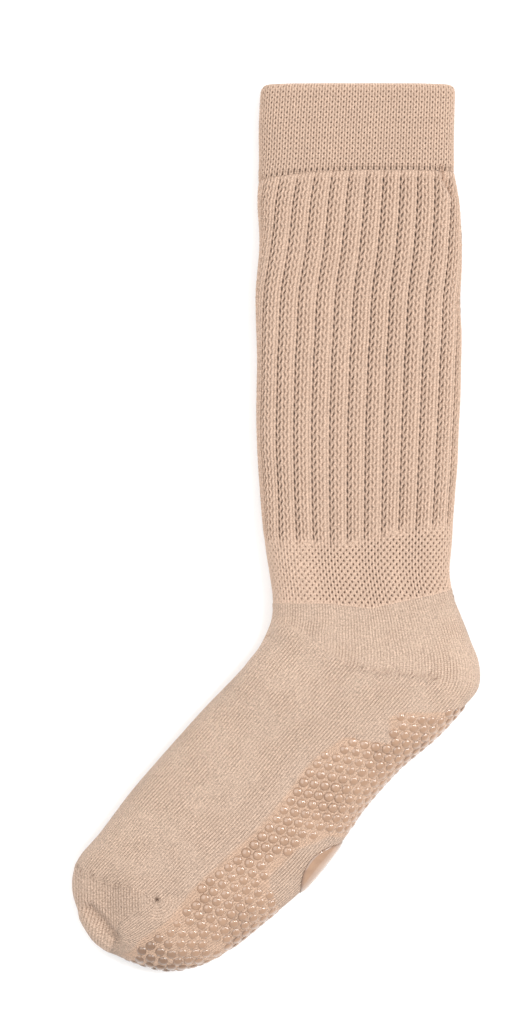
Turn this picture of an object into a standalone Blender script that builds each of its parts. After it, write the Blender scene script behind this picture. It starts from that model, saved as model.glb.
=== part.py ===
"""A knitted slipper sock with a rubber dot print on its sole, lying empty on its side.

The sock is flat in the XY plane and its thickness runs along Z. The leg points to +Y and the foot
slants down to -X. The instep edge is called the front and the heel and sole edge the back.
"""
import bisect
import functools
import math

import bmesh
import bpy
from mathutils import Vector

# Shaft, in metres
LEG_WIDTH = 0.102        # the ribbed leg, pressed flat
CUFF_HEIGHT = 0.043      # top edge down to the end of the double cuff
RIB_HEIGHT = 0.1855      # ribbed leg between cuff and mesh band
BAND_HEIGHT = 0.030      # eyelet mesh band above the plain ankle
CUFF_STEP = 0.0008       # the double cuff stands proud of the leg

# Foot, in metres
HEEL_REACH = 0.061       # heel corner behind the leg's centre line
HEEL_DEPTH = 0.0403      # heel corner below the mesh band
FOOT_LENGTH = 0.228      # heel corner to toe tip, along the sole
FOOT_HEIGHT = 0.0945     # sole to instep, pressed flat
FOOT_SLANT = math.radians(49)   # the sole's slope below the level

# Thickness and walls
LEG_THICK = 0.024
FOOT_THICK = 0.030
LEG_WALL = 0.0022
CUFF_WALL = 0.0034
FOOT_WALL = 0.0026
FOLD_SHARE = 0.36        # height of the folded edges in the thickness

# Rubber print
DOT_PITCH = 0.0058
DOT_HEIGHT = 0.0011
PRINT_SKIN = 0.0007
PRINT_REACH = 0.0400     # how far the print climbs from the sole's edge
PAD_LENGTH = 0.038
PAD_WIDTH = 0.032
PAD_HEIGHT = 0.0010
GAP = 0.0003             # between the knit and what is printed on it

SECTION_POWER = 0.625    # squareness of the flattened tube
FLAT_SHARE = 1.15        # how soon the underside reaches the floor
RECESS_REACH = 1.25      # the room under the print, as a share of its reach
RECESS_BLEND = 0.006
FLOOR_BLEND = 0.0012     # softness of the bend where the underside meets the floor
RING_STEPS = 60
EDGE_ROOM = 0.0008       # extra room under the print where the knit curves
AROUND = 40
EVENNESS = 0.35          # how far the corners round the tube are evened out
MERGE = 0.00001

# Leg rows. level: share of cuff, rib and band heights from the ankle up; front and back: shares of
# LEG_WIDTH from the leg's centre line; thick: share of LEG_THICK
LEG_ROWS = (
    # part, level, front, back, thick
    ("cuff", 1.000, -0.462, 0.462, 0.76),
    ("cuff", 0.955, -0.474, 0.475, 0.79),
    ("cuff", 0.500, -0.484, 0.472, 0.82),
    ("cuff", 0.100, -0.483, 0.473, 0.84),
    ("rib", 0.975, -0.489, 0.482, 0.88),
    ("rib", 0.910, -0.494, 0.502, 0.93),
    ("rib", 0.800, -0.485, 0.516, 0.98),
    ("rib", 0.660, -0.504, 0.509, 1.00),
    ("rib", 0.500, -0.497, 0.513, 1.00),
    ("rib", 0.300, -0.499, 0.500, 1.00),
    ("rib", 0.110, -0.480, 0.480, 1.01),
    ("band", 0.840, -0.455, 0.459, 1.03),
    ("band", 0.420, -0.436, 0.454, 1.06),
    ("band", 0.000, -0.420, 0.476, 1.10),
)

# Heel rows. front: share of LEG_WIDTH; front_drop and back_drop: shares of HEEL_DEPTH below the
# ankle; back: share of HEEL_REACH; thick: share of FOOT_THICK
HEEL_ROWS = (
    # front, front_drop, back, back_drop, thick
    (-0.425, 0.25, 0.862, 0.25, 0.93),
    (-0.450, 0.43, 0.925, 0.50, 0.97),
    (-0.475, 0.56, 0.993, 0.80, 1.00),
    (-0.500, 0.66, 0.992, 1.10, 1.02),
)

# Foot rows. front_along and back_along: shares of FOOT_LENGTH from the heel corner; instep and
# sole: shares of FOOT_HEIGHT, from the sole's line to the instep; thick: share of FOOT_THICK
FOOT_ROWS = (
    # front_along, instep, back_along, sole, thick
    (0.297, 0.988, 0.073, -0.041, 1.03),
    (0.326, 0.985, 0.162, -0.034, 1.03),
    (0.358, 0.987, 0.270, 0.004, 1.02),
    (0.393, 0.992, 0.388, 0.006, 1.00),
    (0.463, 1.000, 0.464, -0.018, 0.99),
    (0.596, 1.004, 0.603, -0.030, 0.97),
    (0.698, 1.002, 0.723, 0.014, 0.95),
    (0.808, 0.983, 0.809, 0.052, 0.90),
    (0.885, 0.978, 0.886, 0.124, 0.83),
    (0.941, 0.904, 0.946, 0.250, 0.72),
    (0.979, 0.766, 0.986, 0.469, 0.55),
    (0.995, 0.660, 0.997, 0.590, 0.42),
)
TOE_TIP = (1.000, 0.626)  # along, across: shares of FOOT_LENGTH and FOOT_HEIGHT

# The print's edge on the visible side, and the same below. along: share of FOOT_LENGTH, followed
# round the sole's edge; reach: share of PRINT_REACH
PRINT_EDGE = (
    # along, reach
    (0.080, 0.00), (0.095, 0.25), (0.149, 0.78), (0.176, 0.80), (0.204, 0.57), (0.230, 0.45),
    (0.260, 0.74), (0.282, 0.95), (0.500, 1.00), (0.640, 1.04), (0.787, 0.95), (0.890, 0.85),
    (0.920, 0.75), (0.955, 0.60), (0.975, 0.36), (0.990, 0.00),
)

# The bare window in the print, where the pad sits. along: share of FOOT_LENGTH; reach: share of
# PRINT_REACH
WINDOW_EDGE = (
    # along, reach
    (0.425, 0.00), (0.470, 0.42), (0.530, 0.62), (0.615, 0.66), (0.640, 0.50), (0.675, 0.00),
)
PAD_ALONG = 0.545        # the pad's middle: share of FOOT_LENGTH

KNIT = ("knit_beige", (0.70, 0.50, 0.37), 0.9)
RUBBER = ("rubber_tan", (0.60, 0.38, 0.25), 0.4)


def clear_scene():
    for obj in list(bpy.data.objects):
        bpy.data.objects.remove(obj, do_unlink=True)


def material(name, colour, roughness):
    """A plain Principled material."""
    made = bpy.data.materials.new(name)
    made.use_nodes = True
    shader = made.node_tree.nodes["Principled BSDF"]
    shader.inputs["Base Color"].default_value = (*colour, 1)
    shader.inputs["Roughness"].default_value = roughness
    shader.inputs["Metallic"].default_value = 0
    return made


def add_object(name, bm, finish):
    """A closed, outward-facing mesh object from a bmesh."""
    bmesh.ops.remove_doubles(bm, verts=bm.verts, dist=MERGE)
    bmesh.ops.recalc_face_normals(bm, faces=bm.faces)
    mesh = bpy.data.meshes.new(name)
    bm.to_mesh(mesh)
    bm.free()
    mesh.shade_smooth()
    mesh.set_sharp_from_angle(angle=math.radians(50))
    mesh.materials.append(material(*finish))
    obj = bpy.data.objects.new(name, mesh)
    bpy.context.scene.collection.objects.link(obj)
    return obj


def leg_height(part, level):
    """Height above the ankle of a level in one part of the shaft."""
    if part == "band":
        return level * BAND_HEIGHT
    if part == "rib":
        return BAND_HEIGHT + level * RIB_HEIGHT
    return BAND_HEIGHT + RIB_HEIGHT + level * CUFF_HEIGHT


def foot_point(along, across):
    """Plan point of a foot, from metres along the sole and metres from sole to instep."""
    toeward = Vector((-math.cos(FOOT_SLANT), -math.sin(FOOT_SLANT)))
    soleward = Vector((math.sin(FOOT_SLANT), -math.cos(FOOT_SLANT)))
    heel = Vector((HEEL_REACH, -HEEL_DEPTH))
    return heel + toeward * along - soleward * across


def key_sections():
    """Front point, back point and thickness of each table row, from collar to toe."""
    rows = []
    for part, level, front, back, thick in LEG_ROWS:
        height = leg_height(part, level)
        rows.append((front * LEG_WIDTH, height, back * LEG_WIDTH, height, thick * LEG_THICK))
    for front, front_drop, back, back_drop, thick in HEEL_ROWS:
        rows.append((front * LEG_WIDTH, -front_drop * HEEL_DEPTH, back * HEEL_REACH,
                     -back_drop * HEEL_DEPTH, thick * FOOT_THICK))
    for front_along, instep, back_along, sole, thick in FOOT_ROWS:
        front = foot_point(front_along * FOOT_LENGTH, instep * FOOT_HEIGHT)
        back = foot_point(back_along * FOOT_LENGTH, sole * FOOT_HEIGHT)
        rows.append((*front, *back, thick * FOOT_THICK))
    return rows


KEYS = key_sections()
CUFF_END = sum(1 for row in LEG_ROWS if row[0] == "cuff") - 0.5
ANKLE = len(LEG_ROWS) - 1
HEEL_END = ANKLE + len(HEEL_ROWS)
LAST = len(KEYS) - 1


def smooth_step(low, high, value):
    share = min(max((value - low) / (high - low), 0), 1)
    return share * share * (3 - 2 * share)


def section(place):
    """Front, back and thickness at a place counted in table rows, on a smooth curve through them."""
    index = min(int(place), LAST - 1)
    share = place - index
    before, start = KEYS[max(index - 1, 0)], KEYS[index]
    end, after = KEYS[index + 1], KEYS[min(index + 2, LAST)]
    values = []
    for a, b, c, d in zip(before, start, end, after):
        curve = 2 * b + (c - a) * share + (2 * a - 5 * b + 4 * c - d) * share ** 2
        values.append(0.5 * (curve + (3 * b - a - 3 * c + d) * share ** 3))
    return Vector(values[0:2]), Vector(values[2:4]), values[4]


def print_depth():
    """What the print takes up between the knit and the floor."""
    return GAP + PRINT_SKIN + DOT_HEIGHT + EDGE_ROOM


def recess(place, from_sole):
    """How far the underside is lifted off the floor to leave room for the print."""
    along = smooth_step(ANKLE + 2.5, HEEL_END + 0.5, place)
    reach = RECESS_REACH * PRINT_REACH
    across = 1 - smooth_step(reach, reach + RECESS_BLEND, from_sole)
    return print_depth() * along * across


def soft_floor(height):
    """Height above the floor, flat where it would sink in and rounded where it meets it."""
    if abs(height) >= FLOOR_BLEND:
        return max(height, 0)
    return (height + FLOOR_BLEND) ** 2 / (4 * FLOOR_BLEND)


def power(value, exponent):
    return math.copysign(abs(value) ** exponent, value)


def ring_point(place, turn, inset):
    """A point of the flattened tube. turn runs once round, from the sole's edge over the top."""
    front, back, thick = section(place)
    width = (back - front).length
    across = (back - front) / width
    half = width / 2
    fold = FOLD_SHARE * thick
    side = power(math.cos(math.tau * turn), SECTION_POWER)
    rise = power(math.sin(math.tau * turn), SECTION_POWER)
    if rise >= 0:
        height = fold + (thick - fold - inset) * rise
    else:
        floor = recess(place, half * (1 - side)) + max(inset, 0)
        height = floor + soft_floor(fold + FLAT_SHARE * fold * rise - floor)
    flat = (front + back) / 2 + across * side * (half - inset)
    return Vector((flat.x, flat.y, height))


def wall(place):
    """Thickness of the knit at a place."""
    if place < CUFF_END:
        return CUFF_WALL
    return LEG_WALL if place < ANKLE else FOOT_WALL


def profile():
    """Places and insets from the closed toe inside, over the collar, to the toe outside."""
    inner = [LAST - 0.9, LAST - 1.4, LAST - 2, LAST - 3, LAST - 4]
    inner += [place for place in range(LAST - 5, ANKLE - 1, -1)]
    inner += [place for place in range(ANKLE - 1, int(CUFF_END), -2)]
    inner += [CUFF_END + 0.1]
    rows = [(place, wall(place)) for place in inner]
    rows += [(place, CUFF_WALL - CUFF_STEP) for place in (CUFF_END - 0.4, 2, 1, 0.35)]
    rows += [(0.08, 0.62 * CUFF_WALL), (0, 0.38 * CUFF_WALL), (0.08, 0), (0.35, -0.8 * CUFF_STEP)]
    rows += [(place, -CUFF_STEP) for place in (1, 2, 3, CUFF_END - 0.05)]
    rows += [(CUFF_END + 0.05, 0)]
    rows += [(place, 0) for place in range(int(CUFF_END) + 1, ANKLE + 1)]
    rows += [(ANKLE + step / 2, 0) for step in range(1, 2 * (LAST - ANKLE) + 1)]
    return rows


def build_sock():
    """The whole knit as one hollow wall, open at the collar."""
    rows = profile()
    tip = foot_point(TOE_TIP[0] * FOOT_LENGTH, TOE_TIP[1] * FOOT_HEIGHT)
    tip_height = FOLD_SHARE * KEYS[LAST][4] * 1.3
    inner_front, inner_back, _ = section(rows[0][0])
    inner_tip = (inner_front + inner_back) / 2
    bm = bmesh.new()
    bmesh.ops.create_grid(bm, x_segments=AROUND, y_segments=len(rows) + 1, size=1)
    for vert in bm.verts:
        turn = (vert.co.x + 1) / 2
        turn += EVENNESS * math.sin(2 * math.tau * turn) / (2 * math.tau)
        row = round((vert.co.y + 1) / 2 * (len(rows) + 1)) - 1
        if row < 0:
            vert.co = Vector((inner_tip.x, inner_tip.y, tip_height))
        elif row == len(rows):
            vert.co = Vector((tip.x, tip.y, tip_height))
        else:
            vert.co = ring_point(rows[row][0], turn % 1, rows[row][1])
    return add_object("knit_sock", bm, KNIT)


def sole_line():
    """Places and arc lengths along the sole's edge, for looking one up from the other."""
    places = [ANKLE + 2 + step / 8 for step in range(8 * (LAST - ANKLE - 2) + 1)]
    points = [ring_point(place, 0, 0) for place in places]
    lengths = [0.0]
    for a, b in zip(points, points[1:]):
        lengths.append(lengths[-1] + (b - a).length)
    corner = lengths[places.index(HEEL_END)]
    return places, [length - corner for length in lengths]


PLACES, LENGTHS = sole_line()


def lookup(value, inputs, outputs):
    """Straight-line interpolation in a rising table."""
    index = min(max(bisect.bisect(inputs, value), 1), len(inputs) - 1)
    low, high = inputs[index - 1], inputs[index]
    share = min(max((value - low) / (high - low), 0), 1)
    return outputs[index - 1] + share * (outputs[index] - outputs[index - 1])


@functools.lru_cache(maxsize=None)
def sole_ring(along, sign):
    """Direction across the foot, and points round the knit from the sole's edge, up or down."""
    place = lookup(along, LENGTHS, PLACES)
    front, back, _ = section(place)
    turns = [sign * 0.5 * (step / RING_STEPS) ** 1.5 for step in range(RING_STEPS + 1)]
    return (back - front).normalized(), [ring_point(place, turn % 1, 0) for turn in turns]


def on_sole(along, around, lift):
    """A point on the knit, along the sole's edge, around from it (up is plus) and off the surface."""
    sign = 1 if around >= 0 else -1
    across, points = sole_ring(along, sign)
    walked = 0.0
    for a, b in zip(points, points[1:]):
        length = (b - a).length
        if walked + length >= abs(around):
            break
        walked += length
    spot = a.lerp(b, (abs(around) - walked) / length)
    run, climb = (b - a).xy.dot(across), b.z - a.z
    outward = Vector((across.x * climb * sign, across.y * climb * sign, -run * sign)).normalized()
    return spot + outward * lift


def edge_reach(table, along):
    """Reach of a table's outline at a place along the sole, or None past its ends."""
    shares = [row[0] * FOOT_LENGTH for row in table]
    if not shares[0] <= along <= shares[-1]:
        return None
    return lookup(along, shares, [row[1] * PRINT_REACH for row in table])


def has_dot(along, around):
    reach = edge_reach(PRINT_EDGE, along)
    window = edge_reach(WINDOW_EDGE, along)
    return reach is not None and abs(around) <= reach and (window is None or abs(around) > window)


def bow(along, around, step):
    """How far flat faces of this size cut below the curved knit around a point."""
    spot = on_sole(along, around, 0)
    middle_around = (on_sole(along, around - step / 2, 0) + on_sole(along, around + step / 2, 0)) / 2
    middle_along = (on_sole(along - step / 2, around, 0) + on_sole(along + step / 2, around, 0)) / 2
    return (middle_around - spot).length + (middle_along - spot).length


def wrap_on_sole(bm, step):
    """Bends a flat sheet of faces of one size, drawn as along, around and lift, round the sole."""
    for vert in bm.verts:
        along, around, lift = vert.co
        vert.co = on_sole(along, around, GAP + lift + bow(along, around, step))
        vert.co.z = max(vert.co.z, 0)  # the studs below are pressed flat by the floor


def dot_lattice(bm, mark):
    """A flat sheet of triangles between dot centres, kept where it touches a dot."""
    rise = DOT_PITCH * math.sqrt(0.75)
    lines = math.ceil(1.2 * PRINT_REACH / rise)
    count = math.ceil(PRINT_EDGE[-1][0] * FOOT_LENGTH / DOT_PITCH) + 1
    grid = {}
    for line in range(-lines, lines + 1):
        for step in range(count + 1):
            spot = Vector(((step + line % 2 / 2) * DOT_PITCH, line * rise, 0))
            grid[line, step] = bm.verts.new(spot)
    dots = {vert for vert in grid.values() if has_dot(vert.co.x, vert.co.y)}
    for vert in dots:
        vert[mark] = 1
    for line in range(-lines, lines):
        shift = line % 2
        for step in range(count):
            corners = [(line, step), (line, step + 1), (line + 1, step + shift)]
            above = [(line + 1, step + 1), (line + 1, step), (line, step + 1 - shift)]
            for names in (corners, above):
                trio = [grid[name] for name in names]
                if dots.intersection(trio):
                    bm.faces.new(trio)
    loose = [vert for vert in bm.verts if not vert.link_faces]
    bmesh.ops.delete(bm, geom=loose, context="VERTS")


def build_print():
    """The rubber print: one thin sheet with a stud at each dot, and a bare window."""
    bm = bmesh.new()
    mark = bm.verts.layers.int.new("dot")
    dot_lattice(bm, mark)
    bmesh.ops.recalc_face_normals(bm, faces=bm.faces)
    grown = bmesh.ops.extrude_face_region(bm, geom=bm.faces[:], use_keep_orig=True)["geom"]
    for vert in (item for item in grown if isinstance(item, bmesh.types.BMVert)):
        vert.co.z = PRINT_SKIN + DOT_HEIGHT * vert[mark]
    top = [item for item in grown if isinstance(item, bmesh.types.BMFace)]
    valleys = bmesh.ops.poke(bm, faces=top)["verts"]
    for vert in valleys:
        vert.co.z = PRINT_SKIN
    wrap_on_sole(bm, DOT_PITCH)
    return add_object("grip_print", bm, RUBBER)


def build_pad():
    """A plain long pad with round ends in the print's window, across the sole's edge."""
    bm = bmesh.new()
    radius = PAD_WIDTH / 2
    bmesh.ops.create_grid(bm, x_segments=12, y_segments=12, size=radius)
    for vert in bm.verts:
        x, y = vert.co.x / radius, vert.co.y / radius
        vert.co.x = radius * x * math.sqrt(1 - y * y / 2)
        vert.co.y = radius * y * math.sqrt(1 - x * x / 2)
        vert.co.x += math.copysign((PAD_LENGTH - PAD_WIDTH) / 2, x) if abs(x) > 0.01 else 0
    grown = bmesh.ops.extrude_face_region(bm, geom=bm.faces[:], use_keep_orig=True)["geom"]
    for vert in (item for item in grown if isinstance(item, bmesh.types.BMVert)):
        vert.co.z = PAD_HEIGHT
    bmesh.ops.translate(bm, vec=(PAD_ALONG * FOOT_LENGTH, 0, 0), verts=bm.verts)
    wrap_on_sole(bm, PAD_LENGTH / 12)
    return add_object("plain_pad", bm, RUBBER)


def centre(objects):
    """Moves the pieces so that the middle of their base is the origin."""
    corners = [vert.co for obj in objects for vert in obj.data.vertices]
    low = [min(co[axis] for co in corners) for axis in range(3)]
    high = [max(co[axis] for co in corners) for axis in range(3)]
    shift = Vector(((low[0] + high[0]) / 2, (low[1] + high[1]) / 2, low[2]))
    for obj in objects:
        for vert in obj.data.vertices:
            vert.co -= shift


clear_scene()
centre([build_sock(), build_print(), build_pad()])
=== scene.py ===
import math

import bmesh
import bpy
import numpy as np
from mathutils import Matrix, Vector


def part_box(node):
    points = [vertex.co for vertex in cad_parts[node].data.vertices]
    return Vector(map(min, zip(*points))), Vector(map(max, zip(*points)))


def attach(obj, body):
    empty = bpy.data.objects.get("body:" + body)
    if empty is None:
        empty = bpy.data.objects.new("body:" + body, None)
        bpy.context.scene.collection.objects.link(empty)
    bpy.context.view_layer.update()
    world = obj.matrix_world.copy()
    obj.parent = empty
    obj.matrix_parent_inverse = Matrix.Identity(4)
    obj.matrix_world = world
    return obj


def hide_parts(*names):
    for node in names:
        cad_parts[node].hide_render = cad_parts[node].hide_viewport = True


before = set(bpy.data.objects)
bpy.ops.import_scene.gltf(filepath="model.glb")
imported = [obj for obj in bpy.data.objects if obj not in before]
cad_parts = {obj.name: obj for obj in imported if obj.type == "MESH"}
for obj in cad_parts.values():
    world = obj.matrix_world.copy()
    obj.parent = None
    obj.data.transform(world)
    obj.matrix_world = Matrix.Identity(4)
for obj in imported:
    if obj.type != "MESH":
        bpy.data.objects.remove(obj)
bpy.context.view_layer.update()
print("frame loaded")

# The sock's own sizes in metres. It lies on its side: x across the leg, y up the leg, z off the floor.
# The instep edge is the front and the heel and sole edge the back.
sockForm = {
    "legWidth": 0.102, "cuffHeight": 0.043, "ribHeight": 0.1855, "bandHeight": 0.030,
    "heelReach": 0.061, "heelDepth": 0.0403,
    "footLength": 0.228, "footHeight": 0.0945, "footSlant": math.radians(49),
    "legThick": 0.024, "footThick": 0.030, "foldShare": 0.36,
    "sectionPower": 0.625, "flatShare": 1.15, "floorBlend": 0.0012,
    "printRoom": 0.0029, "printReach": 0.040, "recessReach": 1.25, "recessBlend": 0.006,
    "legWall": 0.0022, "footWall": 0.0026,
}

# Rows down the leg: part, level in that part, front, back, thick
legRows = (
    ("cuff", 1.000, -0.462, 0.462, 0.76), ("cuff", 0.955, -0.474, 0.475, 0.79),
    ("cuff", 0.500, -0.484, 0.472, 0.82), ("cuff", 0.100, -0.483, 0.473, 0.84),
    ("rib", 0.975, -0.489, 0.482, 0.88), ("rib", 0.910, -0.494, 0.502, 0.93),
    ("rib", 0.800, -0.485, 0.516, 0.98), ("rib", 0.660, -0.504, 0.509, 1.00),
    ("rib", 0.500, -0.497, 0.513, 1.00), ("rib", 0.300, -0.499, 0.500, 1.00),
    ("rib", 0.110, -0.480, 0.480, 1.01), ("band", 0.840, -0.455, 0.459, 1.03),
    ("band", 0.420, -0.436, 0.454, 1.06), ("band", 0.000, -0.420, 0.476, 1.10),
)

# Rows round the heel: front, front drop, back, back drop, thick
heelRows = (
    (-0.425, 0.25, 0.862, 0.25, 0.93), (-0.450, 0.43, 0.925, 0.50, 0.97),
    (-0.475, 0.56, 0.993, 0.80, 1.00), (-0.500, 0.66, 0.992, 1.10, 1.02),
)

# Rows down the foot: front along, instep, back along, sole, thick
footRows = (
    (0.297, 0.988, 0.073, -0.041, 1.03), (0.326, 0.985, 0.162, -0.034, 1.03),
    (0.358, 0.987, 0.270, 0.004, 1.02), (0.393, 0.992, 0.388, 0.006, 1.00),
    (0.463, 1.000, 0.464, -0.018, 0.99), (0.596, 1.004, 0.603, -0.030, 0.97),
    (0.698, 1.002, 0.723, 0.014, 0.95), (0.808, 0.983, 0.809, 0.052, 0.90),
    (0.885, 0.978, 0.886, 0.124, 0.83), (0.941, 0.904, 0.946, 0.250, 0.72),
    (0.979, 0.766, 0.986, 0.469, 0.55), (0.995, 0.660, 0.997, 0.590, 0.42),
)
toeTip = (1.000, 0.626)


def legHeight(part, level):
    if part == "band":
        return level * sockForm["bandHeight"]
    if part == "rib":
        return sockForm["bandHeight"] + level * sockForm["ribHeight"]
    return sockForm["bandHeight"] + sockForm["ribHeight"] + level * sockForm["cuffHeight"]


def footPoint(along, across):  # on the plan, from the heel corner
    slant = sockForm["footSlant"]
    x = sockForm["heelReach"] - math.cos(slant) * along - math.sin(slant) * across
    y = -sockForm["heelDepth"] - math.sin(slant) * along + math.cos(slant) * across
    return x, y


def keySections():
    width, rows = sockForm["legWidth"], []
    for part, level, front, back, thick in legRows:
        height = legHeight(part, level)
        rows.append((front * width, height, back * width, height, thick * sockForm["legThick"]))
    for front, frontDrop, back, backDrop, thick in heelRows:
        rows.append((front * width, -frontDrop * sockForm["heelDepth"], back * sockForm["heelReach"],
                     -backDrop * sockForm["heelDepth"], thick * sockForm["footThick"]))
    for frontAlong, instep, backAlong, sole, thick in footRows:
        front = footPoint(frontAlong * sockForm["footLength"], instep * sockForm["footHeight"])
        back = footPoint(backAlong * sockForm["footLength"], sole * sockForm["footHeight"])
        rows.append((*front, *back, thick * sockForm["footThick"]))
    return np.array(rows)


keys = keySections()
ankleRow = len(legRows) - 1
heelEnd = ankleRow + len(heelRows)
lastRow = len(keys) - 1


def smoothStep(low, high, value):
    share = np.clip((value - low) / (high - low), 0, 1)
    return share * share * (3 - 2 * share)


def bump(value, middle, width):  # a soft ridge, 1 in its middle
    return np.exp(-((value - middle) / width) ** 2)


def wave(value):
    return np.sin(math.tau * value)


def blendTo(share, a, b):
    return a + (b - a) * share


def tableAt(table, value, column=1):
    table = np.array(table)
    return np.interp(value, table[:, 0], table[:, column])


def sections(places):
    # front point, back point and thickness on a smooth curve through the rows
    index = np.clip(places.astype(int), 0, lastRow - 1)
    share = (places - index)[..., None]
    a, b = keys[np.maximum(index - 1, 0)], keys[index]
    c, d = keys[index + 1], keys[np.minimum(index + 2, lastRow)]
    curve = 2 * b + (c - a) * share + (2 * a - 5 * b + 4 * c - d) * share ** 2
    curve = 0.5 * (curve + (3 * b - a - 3 * c + d) * share ** 3)
    return curve[..., 0:2], curve[..., 2:4], curve[..., 4]


def signedPower(value):
    return np.sign(value) * np.abs(value) ** sockForm["sectionPower"]


def ringPoints(places, turns, inset=0.0):
    # points of the flattened tube, inset into its wall: turn 0 is the sole's edge, 0.25 the top and
    # 0.5 the instep edge
    front, back, thick = sections(places)
    width = np.linalg.norm(back - front, axis=-1)
    across = (back - front) / width[..., None]
    half, fold = width / 2, sockForm["foldShare"] * thick
    side, rise = signedPower(np.cos(math.tau * turns)), signedPower(np.sin(math.tau * turns))
    top = fold + (thick - fold - inset) * rise
    along = smoothStep(ankleRow + 2.5, heelEnd + 0.5, places)
    reach = sockForm["recessReach"] * sockForm["printReach"]
    under = 1 - smoothStep(reach, reach + sockForm["recessBlend"], half * (1 - side))
    floor = sockForm["printRoom"] * along * under + np.maximum(inset, 0)
    sunk = fold + sockForm["flatShare"] * fold * rise - floor
    blend = sockForm["floorBlend"]
    soft = np.where(np.abs(sunk) >= blend, np.maximum(sunk, 0), (sunk + blend) ** 2 / (4 * blend))
    height = np.where(rise >= 0, top, floor + soft)
    flat = (front + back) / 2 + across * (side * (half - inset))[..., None]
    return np.concatenate([flat, height[..., None]], axis=-1)


def walkedAlong(points):
    # length walked along each row of points
    steps = np.linalg.norm(np.diff(points, axis=-2), axis=-1)
    return np.concatenate([np.zeros((*steps.shape[:-1], 1)), np.cumsum(steps, axis=-1)], axis=-1)


def travelTable():
    # how far down the sock each place is: metres below the ankle line along the middle
    places = np.linspace(0, lastRow, 40 * lastRow + 1)
    front, back, _ = sections(places)
    travel = walkedAlong((front + back) / 2)
    return places, travel - np.interp(ankleRow, places, travel)


tablePlaces, tableTravel = travelTable()
collarTravel, toeTravel = tableTravel[0], tableTravel[-1]


def placeAt(travel):
    return np.interp(travel, tableTravel, tablePlaces)


def edgeTable():
    # arc length along the sole's edge from the heel corner, for each place
    places = np.linspace(ankleRow + 2, lastRow, 8 * (lastRow - ankleRow - 2) + 1)
    lengths = walkedAlong(ringPoints(places, 0 * places))
    return places, lengths - np.interp(heelEnd, places, lengths)


edgePlaces, edgeLengths = edgeTable()


def denseTurns():
    # turns over the top, fine enough for both the flat middle and the tight folds
    share = np.linspace(0, 1, 161) ** (1 / sockForm["sectionPower"])
    quarter = np.concatenate([np.arccos(share), np.arcsin(share)]) / math.tau
    return np.unique(np.concatenate([quarter, 0.5 - quarter]).round(9))


overTurns = denseTurns()


def evenTurns(places, half):
    # turns that space the columns evenly over the top and then under the sock
    turns = np.empty((len(places), 2 * half + 1))
    for start, dense in ((0, overTurns), (half, 0.5 + overTurns)):
        reach = walkedAlong(ringPoints(places[:, None], dense[None]))
        for row, walked in enumerate(reach):
            even = np.linspace(0, walked[-1], half + 1)
            turns[row, start:start + half + 1] = np.interp(even, walked, dense)
    return turns


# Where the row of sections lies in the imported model
outline = ringPoints(tablePlaces[:, None], np.linspace(0, 1, 121)[None])
nodeLow, nodeHigh = (np.array(corner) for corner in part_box("knit_sock"))
planShift = (nodeLow + nodeHigh - outline.min(axis=(0, 1)) - outline.max(axis=(0, 1))) / 2
planShift[2] = nodeLow[2]
spareRoom = nodeHigh - nodeLow - np.ptp(outline, axis=(0, 1))
print("sections match the packed knit to", np.round(spareRoom * 1000, 2), "mm")


def acrossShare(half):
    # share of the way from the instep edge to the sole edge over the top; minus below
    over = 1 - np.arange(half + 1) / half
    return np.concatenate([over, -np.arange(1, half + 1) / half])


def nearLine(points, line):
    # distance to a line drawn on the plan, side of it, and the way walked along it
    best = np.full(points.shape[:-1], np.inf)
    walked, side, start = 0 * points[..., 0], 0 * points[..., 0], 0.0
    for a, b in zip(line, line[1:]):
        step = np.array(b) - np.array(a)
        length = np.linalg.norm(step)
        offset = points[..., :2] - np.array(a)
        share = np.clip((offset @ step) / length ** 2, 0, 1)
        gap = offset - share[..., None] * step
        distance = np.linalg.norm(gap, axis=-1)
        closer = distance < best
        best = np.where(closer, distance, best)
        walked = np.where(closer, start + share * length, walked)
        side = np.where(closer, np.sign(step[0] * gap[..., 1] - step[1] * gap[..., 0]), side)
        start += length
    return best, side, walked


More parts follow.
